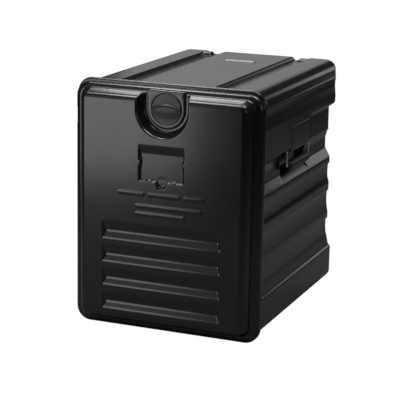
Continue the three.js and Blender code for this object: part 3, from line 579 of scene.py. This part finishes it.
def latch_plate():
    """The recess's floor plate: round below, square above, with a hole for the knob's hub."""
    half, top = PLATE["half"], PLATE["top"]
    corner = math.atan2(top - LATCH_Z, half)
    angles = np.concatenate([
        np.linspace(-math.pi, 0, 49),
        np.linspace(0, corner, 16)[1:],
        np.linspace(corner, math.pi - corner, 25)[1:],
        np.linspace(math.pi - corner, math.pi, 16)[1:-1],
    ])
    direction = np.column_stack([np.cos(angles), np.sin(angles)])
    reach = np.where(angles <= 0, half, np.minimum(half / np.maximum(np.abs(direction[:, 0]), 1e-6),
                                                   (top - LATCH_Z) / np.maximum(direction[:, 1], 1e-6)))
    hole = WELL_RADIUS
    rows = []
    # How far each ring lies from the hole (0) to the outer edge (1), plus millimetres, and its Y.
    sections = [(0.0, 0.0, -2.4), (0.0, 0.0, -4.4), (0.0, 0.5, -4.9), (0.0, 1.2, -5.0), (0.5, 0.0, -5.0),
                (1.0, -3.0, -5.0), (1.0, -1.9, -4.7), (1.0, -1.0, -4.0), (1.0, -0.4, -3.3), (1.0, 0.0, -2.8),
                (1.0, 0.0, -2.4)]
    for mix, extra, y in sections:
        radius = hole + (reach - hole) * mix + extra
        rows.append(np.column_stack([direction[:, 0] * radius, np.full(len(angles), y),
                                     LATCH_Z + direction[:, 1] * radius]))
    points = np.vstack(rows)
    faces = strip(len(rows), len(angles), 0, closed=True)
    return build("latch_floor_plate", points, faces, "door", SHELL, replaces=("latch_plate",))


def latch_knob():
    """Knob with a leaf-shaped ridge across it: a steep scoop above, a long shallow one below."""
    turns = 144
    radii = np.concatenate([np.linspace(0.0, 35.0, 47), [35.6, 36.2, 36.7, 36.95, KNOB["radius"]]])
    angle = np.linspace(0, 2 * math.pi, turns, endpoint=False)
    grid_r, grid_a = np.meshgrid(radii, angle, indexing="ij")
    x, z = grid_r * np.cos(grid_a), grid_r * np.sin(grid_a)
    crown = KNOB["face"] + 1.6 * np.clip((grid_r - 35.6) / 1.4, 0, 1) ** 2
    taper = np.clip(1 - (x / RIDGE["half"]) ** 2, 0, 1)
    above = (z - RIDGE["above"] * taper) * 1.3
    below = (-RIDGE["below"] * taper - z) * 0.13
    inside = (36.6 - grid_r) * 1.6
    depth = smin(smin(smax(above, below, 0.6), inside, 0.8), KNOB["scoop"] + 0 * x, 0.8)
    # A fine raised line along the ridge's upper edge.
    crest = 1.5 * np.exp(-(((z - RIDGE["above"] * taper + 2.2) / 1.1) ** 2)) * np.sqrt(taper)
    y = smax(crown, KNOB["face"] + np.maximum(depth, -3), 0.35) - crest
    rows = [np.column_stack([x[i], y[i], z[i] + LATCH_Z]) for i in range(len(radii))]
    skirt = ((KNOB["radius"], -5.9), (36.6, -5.4), (33.6, -5.3), (33.6, 0.2), (20.0, 0.4), (0.0, 0.4))
    for radius, level in skirt:
        height = LATCH_Z + radius * np.sin(angle)
        rows.append(np.column_stack([radius * np.cos(angle), np.full(turns, level), height]))
    points = np.vstack(rows)
    faces = strip(len(rows), turns, 0, closed=True)
    return build("latch_turn_knob", points, faces, "latch", TRIM, replaces=("latch_knob",))


latch_plate()
latch_knob()


# ------------------------------------------------------------------ handles
HANDLE = dict(y=312.0, span=79.0, rod=3.0, bend=8.0, x=205.0, pivot=413.0, grip=374.0, reach=22.0)
GRIP_HALF = 71.0
MOUNT = dict(half=71.0, bottom=408.0, top=468.0, radius=6, edge=212.8, round=2.2)


def bail_route():
    """Centre line of the bent rod in Y and Z, with its bends rounded, and its direction."""
    h = HANDLE
    inner = h["span"] - h["reach"] + 3
    corners = [(-inner, h["pivot"]), (-h["span"], h["pivot"]), (-h["span"], h["grip"]),
               (h["span"], h["grip"]), (h["span"], h["pivot"]), (inner, h["pivot"])]
    corners = [np.array(c) for c in corners]
    stations = [(corners[0], corners[1] - corners[0])]
    for before, here, after in zip(corners, corners[1:], corners[2:]):
        arrive = (here - before) / np.linalg.norm(here - before)
        leave = (after - here) / np.linalg.norm(after - here)
        centre = here - arrive * h["bend"] + leave * h["bend"]
        for angle in np.linspace(0, math.pi / 2, 9):
            out = -leave * math.cos(angle) + arrive * math.sin(angle)
            stations.append((centre + out * h["bend"], arrive * math.cos(angle) + leave * math.sin(angle)))
    stations.append((corners[-1], corners[-1] - corners[-2]))
    return [(p, d / np.linalg.norm(d)) for p, d in stations]


def handle_bail(side, place):
    """The bent rod, its ends turned in towards each other at the pivots."""
    angles = np.linspace(0, 2 * math.pi, 24, endpoint=False)
    rows = []
    for (y, z), (dy, dz) in bail_route():
        x = side * (HANDLE["x"] + HANDLE["rod"] * np.cos(angles))
        offset = HANDLE["rod"] * np.sin(angles)
        rows.append(np.column_stack([x, HANDLE["y"] + y - dz * offset, z + dy * offset]))
    points, faces = capped_tube(rows)
    build(f"bail_rod_{place}", points, faces, f"handle_{place}", STEEL,
          replaces=(f"handle_bail_{place}",))


def handle_grip(side, place):
    """Oval grip, a little fuller in the middle and faintly fluted, with a rounded end at each rod."""
    angles = np.linspace(0, 2 * math.pi, 48, endpoint=False)
    half = GRIP_HALF
    stations = np.concatenate([np.linspace(-half, -half + 8, 9), np.linspace(-half + 12, half - 12, 41),
                               np.linspace(half - 8, half, 9)])
    rows = []
    for along in stations:
        from_end = half - abs(along)
        end = math.sqrt(max(0.0, 1 - (1 - min(from_end / 8, 1)) ** 2)) * 0.45 + 0.55
        swell = 0.93 + 0.07 * math.cos(math.pi * along / half / 1.6)
        flute = 0.012 * math.cos(along * 2 * math.pi / 9) * (abs(along) < half - 14)
        x = side * (HANDLE["x"] + 11 * (end * swell + flute) * np.cos(angles))
        z = HANDLE["grip"] + 13.5 * (end * swell + flute) * np.sin(angles)
        rows.append(np.column_stack([x, np.full(len(angles), HANDLE["y"] + along), z]))
    points, faces = capped_tube(rows)
    build(f"grip_{place}", points, faces, f"handle_{place}", GRIP, replaces=(f"handle_grip_{place}",))


def handle_mount(side, place):
    """The plate that the handle pivots in, with soft edges."""
    u = np.linspace(0, 1, 30)
    v = np.linspace(0, 1, 16)
    soft, out = MOUNT["round"], MOUNT["edge"]
    turns = np.radians(np.linspace(90, 0, 7))
    edge = [(soft - soft * math.sin(a), out - soft * (1 - math.cos(a))) for a in turns]
    rows = []
    for inset, x in [(0, 198.0)] + edge + [(8.0, 212.9), (26.0, 213.0)]:
        flat = shape_ring(MOUNT, inset, u, v, arc=7)
        rows.append(np.column_stack([np.full(len(flat), side * x), HANDLE["y"] + flat[:, 0], flat[:, 1]]))
    points, faces = capped_tube(rows)
    build(f"mount_plate_{place}", points, faces, "body", SHELL, replaces=(f"handle_mount_{place}",))


for side, place in ((-1, "left"), (1, "right")):
    handle_bail(side, place)
    handle_grip(side, place)
    handle_mount(side, place)


# ------------------------------------------------------------------ CAD pieces that stay
for name, obj in frame["nodes"].items():
    finish = STEEL
    if "foam" in name:
        finish = FOAM
    elif name in ("inner_liner", "door_inner_shell"):
        finish = LINER
    elif name in ("skid_left", "skid_right", "latch_bush"):
        finish = TRIM
    elif name == "door_gasket":
        finish = RUBBER
    obj.data.materials.clear()
    obj.data.materials.append(finish)


# ------------------------------------------------------------------ floor, light and camera
def floor():
    """A grey floor that the camera sees as plain white, as in a cut-out photo."""
    reach = 12
    corners = [(-reach, -reach, 0), (reach, -reach, 0), (reach, reach, 0), (-reach, reach, 0)]
    mesh = bpy.data.meshes.new("studio_floor")
    mesh.from_pydata(corners, [], [(0, 1, 2, 3)])
    obj = bpy.data.objects.new("studio_floor", mesh)
    bpy.context.scene.collection.objects.link(obj)
    paper = bpy.data.materials.new("pale_floor")
    paper.use_nodes = True
    nodes, links = paper.node_tree.nodes, paper.node_tree.links
    shader = nodes["Principled BSDF"]
    shader.inputs["Base Color"].default_value = (0.26, 0.26, 0.26, 1)
    shader.inputs["Roughness"].default_value = 0.9
    glow = nodes.new("ShaderNodeEmission")
    glow.inputs["Color"].default_value = (1, 1, 1, 1)
    glow.inputs["Strength"].default_value = 1.0
    path = nodes.new("ShaderNodeLightPath")
    mix = nodes.new("ShaderNodeMixShader")
    links.new(path.outputs["Is Camera Ray"], mix.inputs["Fac"])
    links.new(shader.outputs["BSDF"], mix.inputs[1])
    links.new(glow.outputs["Emission"], mix.inputs[2])
    links.new(mix.outputs["Shader"], nodes["Material Output"].inputs["Surface"])
    mesh.materials.append(paper)


def world():
    """White for the camera and nearly black for all other rays."""
    sky = bpy.data.worlds.new("studio")
    bpy.context.scene.world = sky
    sky.use_nodes = True
    nodes, links = sky.node_tree.nodes, sky.node_tree.links
    nodes.clear()
    path = nodes.new("ShaderNodeLightPath")
    white = nodes.new("ShaderNodeBackground")
    white.inputs["Color"].default_value = (1, 1, 1, 1)
    dim = nodes.new("ShaderNodeBackground")
    dim.inputs["Color"].default_value = (0.05, 0.05, 0.05, 1)
    mix = nodes.new("ShaderNodeMixShader")
    out = nodes.new("ShaderNodeOutputWorld")
    links.new(path.outputs["Is Camera Ray"], mix.inputs["Fac"])
    links.new(dim.outputs[0], mix.inputs[1])
    links.new(white.outputs[0], mix.inputs[2])
    links.new(mix.outputs[0], out.inputs["Surface"])


AIM = Vector((0, 0, 0.3))


def softbox(name, azimuth, elevation, distance, size, power):
    """A square lamp aimed at the middle of the object; azimuth 0 is in front and 90 is on the right."""
    lamp = bpy.data.lights.new(name, "AREA")
    lamp.size = size
    lamp.energy = power
    obj = bpy.data.objects.new(name, lamp)
    bpy.context.scene.collection.objects.link(obj)
    turn, rise = math.radians(azimuth), math.radians(elevation)
    away = Vector((math.sin(turn) * math.cos(rise), -math.cos(turn) * math.cos(rise), math.sin(rise)))
    obj.location = AIM + away * distance
    obj.rotation_euler = away.to_track_quat("Z", "Y").to_euler()


def camera():
    """The photo's view, from in front on the right and a little above."""
    place = Vector((1.3126, -3.0417 + BACK_SHIFT * MM, 1.1377))
    azimuth, elevation, roll = (math.radians(a) for a in (22.06, 13.79, 1.06))
    ahead = Vector((-math.sin(azimuth) * math.cos(elevation), math.cos(azimuth) * math.cos(elevation),
                    -math.sin(elevation)))
    right = Vector((math.cos(azimuth), math.sin(azimuth), 0))
    up = right.cross(ahead)
    across = right * math.cos(roll) + up * math.sin(roll)
    upward = up * math.cos(roll) - right * math.sin(roll)
    lens = bpy.data.cameras.new("camera")
    lens.sensor_width = 36
    lens.lens = 135.84
    lens.shift_x = 0.0031
    obj = bpy.data.objects.new("camera", lens)
    bpy.context.scene.collection.objects.link(obj)
    turn = Matrix((across, upward, -ahead)).transposed().to_4x4()
    obj.matrix_world = Matrix.Translation(place) @ turn
    bpy.context.scene.camera = obj


floor()
world()
softbox("high_right", 50, 68, 1.5, 0.6, 9.2)
softbox("high_left", -50, 66, 1.5, 0.4, 7.0)
softbox("high_front", -25, 68, 1.5, 0.6, 1.8)
softbox("overhead", 0, 88, 1.6, 0.8, 4.7)
softbox("low_front", -27, 4, 1.5, 0.6, 3.7)
softbox("middle_front", -25, 30, 1.5, 0.6, 0.6)
softbox("side_right", 52, 17, 1.5, 0.5, 0.7)
softbox("high_behind", -150, 47, 2.4, 0.9, 16.0)
softbox("behind", -164, 20, 2.4, 1.2, 1.9)
softbox("behind_right", 160, 7, 2.4, 0.5, 0.9)
camera()
bpy.context.scene.view_settings.view_transform = "Standard"
